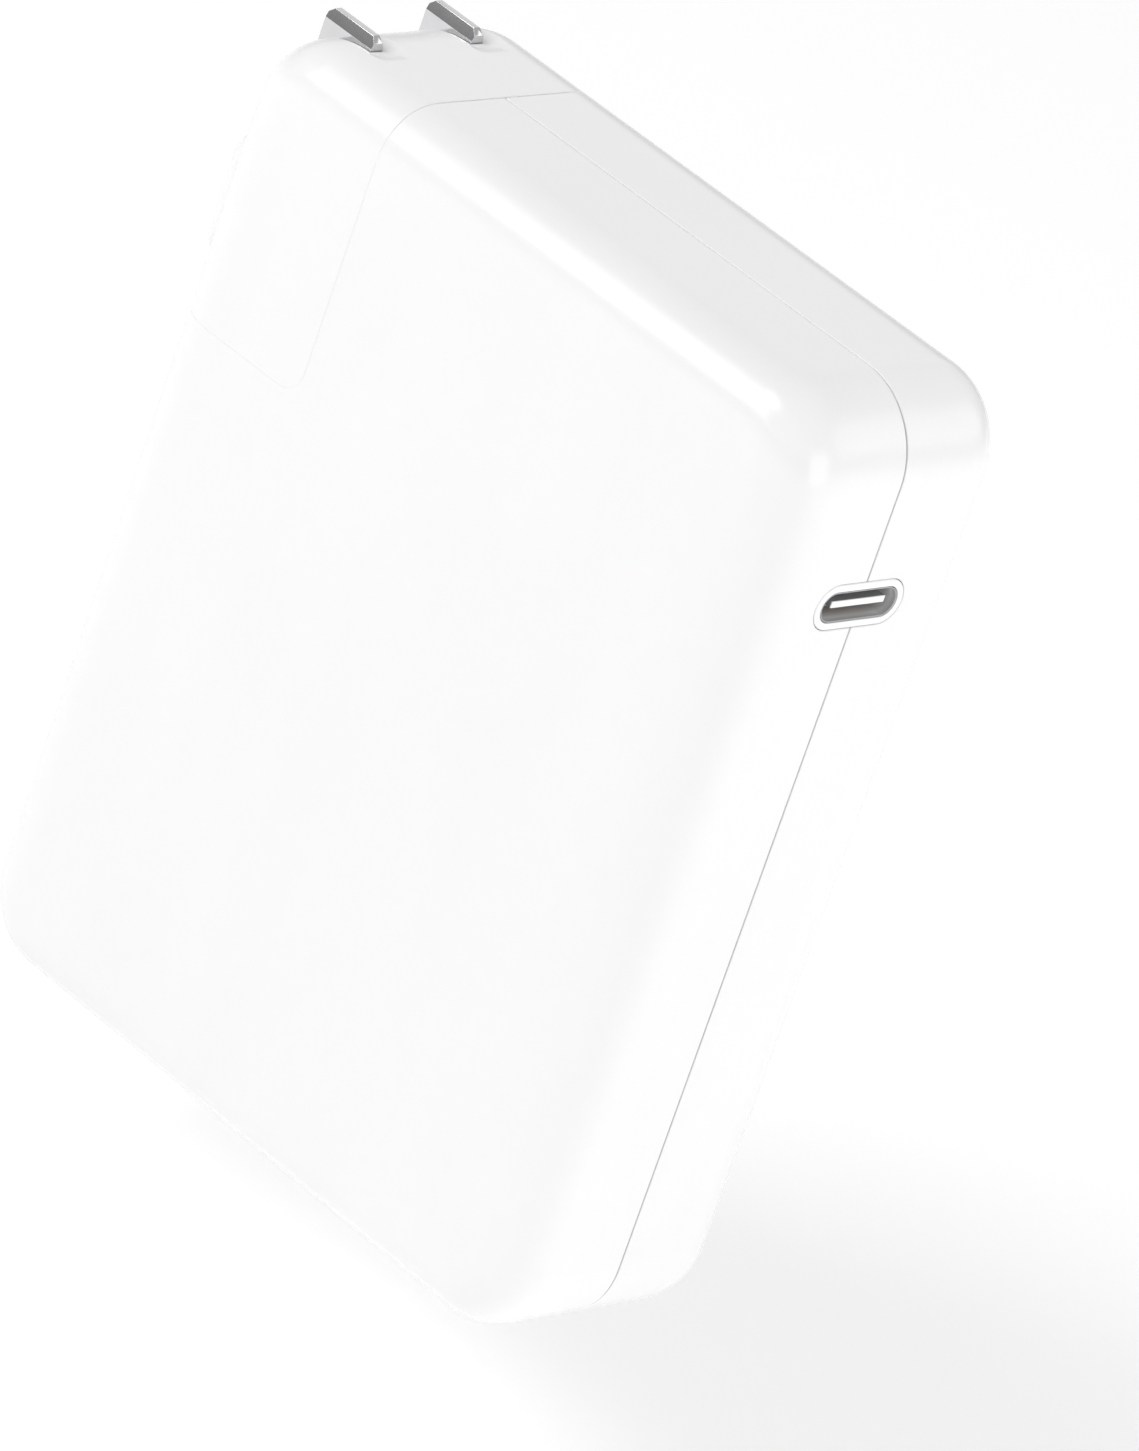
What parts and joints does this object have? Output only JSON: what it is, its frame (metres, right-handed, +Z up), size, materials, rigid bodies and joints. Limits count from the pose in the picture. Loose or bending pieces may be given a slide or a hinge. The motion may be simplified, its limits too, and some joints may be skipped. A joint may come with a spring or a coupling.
{
  "type": "laptop power adapter",
  "caption": "White slab-shaped laptop power adapter with a slide-off corner plug head, fold-away flat blades and a USB-C outlet in its side.",
  "frame": {"origin": "middle of the bottom face, on the seam between the two half shells", "axes": "+X along the top edge from the plug head to the outlet side, +Y from the front face to the back face through the thickness, +Z up the long side, as the adapter stands on its lower narrow side"},
  "size_m": [0.0776, 0.0276, 0.0967],
  "materials": {
    "white_plastic": "smooth satin-gloss moulded plastic with a very fine texture",
    "port_plastic": "smooth gloss moulded plastic",
    "blade_metal": "bright plated blade with a fine lengthwise grain",
    "port_metal": "satin plated sheet metal",
    "steel": "satin steel",
    "contact_gold": "gold-plated contact",
    "copper": "bare copper and enamelled copper wire",
    "spreader_metal": "thin rolled sheet",
    "tongue_plastic": "off-white moulded insert",
    "black_plastic": "black moulded plastic and insulating sheet",
    "board_green": "solder-masked circuit board",
    "ferrite": "sintered ferrite, dark grey and slightly rough",
    "coil_tape": "yellow polyester tape",
    "capacitor_sleeve": "dark shrink sleeve",
    "film_case": "yellow moulded case",
    "blue_coat": "blue dipped coating and blue wire insulation",
    "brown_wire": "brown wire insulation",
    "fuse_ceramic": "cream ceramic tube"
  },
  "bodies": {
    "adapter": {"front_shell": "white_plastic", "rear_shell": "white_plastic", "port_bezel": "port_plastic", "usb_c_shell": "port_metal", "usb_c_tongue": "tongue_plastic", "usb_c_contacts_upper": "contact_gold", "usb_c_contacts_lower": "contact_gold", "usb_c_board": "board_green", "port_controller": "black_plastic", "inlet_housing": "black_plastic", "inlet_pin_neutral": "blade_metal", "inlet_pin_live": "blade_metal", "inlet_lead_neutral": "blue_coat", "inlet_lead_live": "brown_wire", "lock_stud": "steel", "stud_nut": "steel", "ground_strap": "copper", "main_board": "board_green", "rear_insulation": "black_plastic", "rear_heat_spreader": "spreader_metal", "front_insulation": "black_plastic", "front_heat_spreader": "spreader_metal", "transformer_core": "ferrite", "transformer_winding": "coil_tape", "boost_choke_core": "ferrite", "boost_choke_winding": "coil_tape", "filter_choke_core": "ferrite", "filter_choke_winding_upper": "copper", "filter_choke_winding_lower": "copper", "filter_capacitor": "film_case", "safety_capacitor": "blue_coat", "surge_disc": "blue_coat", "fuse": "fuse_ceramic", "bridge_rectifier": "black_plastic", "bulk_capacitor_1": "capacitor_sleeve", "bulk_capacitor_2": "capacitor_sleeve", "output_capacitor_1": "capacitor_sleeve", "output_capacitor_2": "capacitor_sleeve", "output_capacitor_3": "capacitor_sleeve", "power_switch_1": "black_plastic", "power_switch_2": "black_plastic", "rectifier_board": "board_green", "output_rectifier_1": "black_plastic", "output_rectifier_2": "black_plastic"},
    "plug_head": {"head_cover": "white_plastic", "head_base": "white_plastic", "stud_plate": "steel", "hinge_axle": "steel", "detent_spring": "steel", "socket_insulator": "black_plastic", "contact_spring_neutral": "copper", "contact_spring_live": "copper", "socket_sleeve_neutral": "copper", "socket_sleeve_live": "copper"},
    "blades": {"blade_carrier": "white_plastic", "blade_neutral": "blade_metal", "blade_live": "blade_metal"}
  },
  "joints": [
    {"name": "head_slide", "type": "slide", "parent": "adapter", "child": "plug_head", "axis": [0, 0, 1], "range_m": [0, 0.014]},
    {"name": "blades_fold", "type": "hinge", "parent": "plug_head", "child": "blades", "pos_m": [-0.033, 0, 0.0761], "axis": [0, -1, 0], "range_deg": [0, 90]}
  ]
}
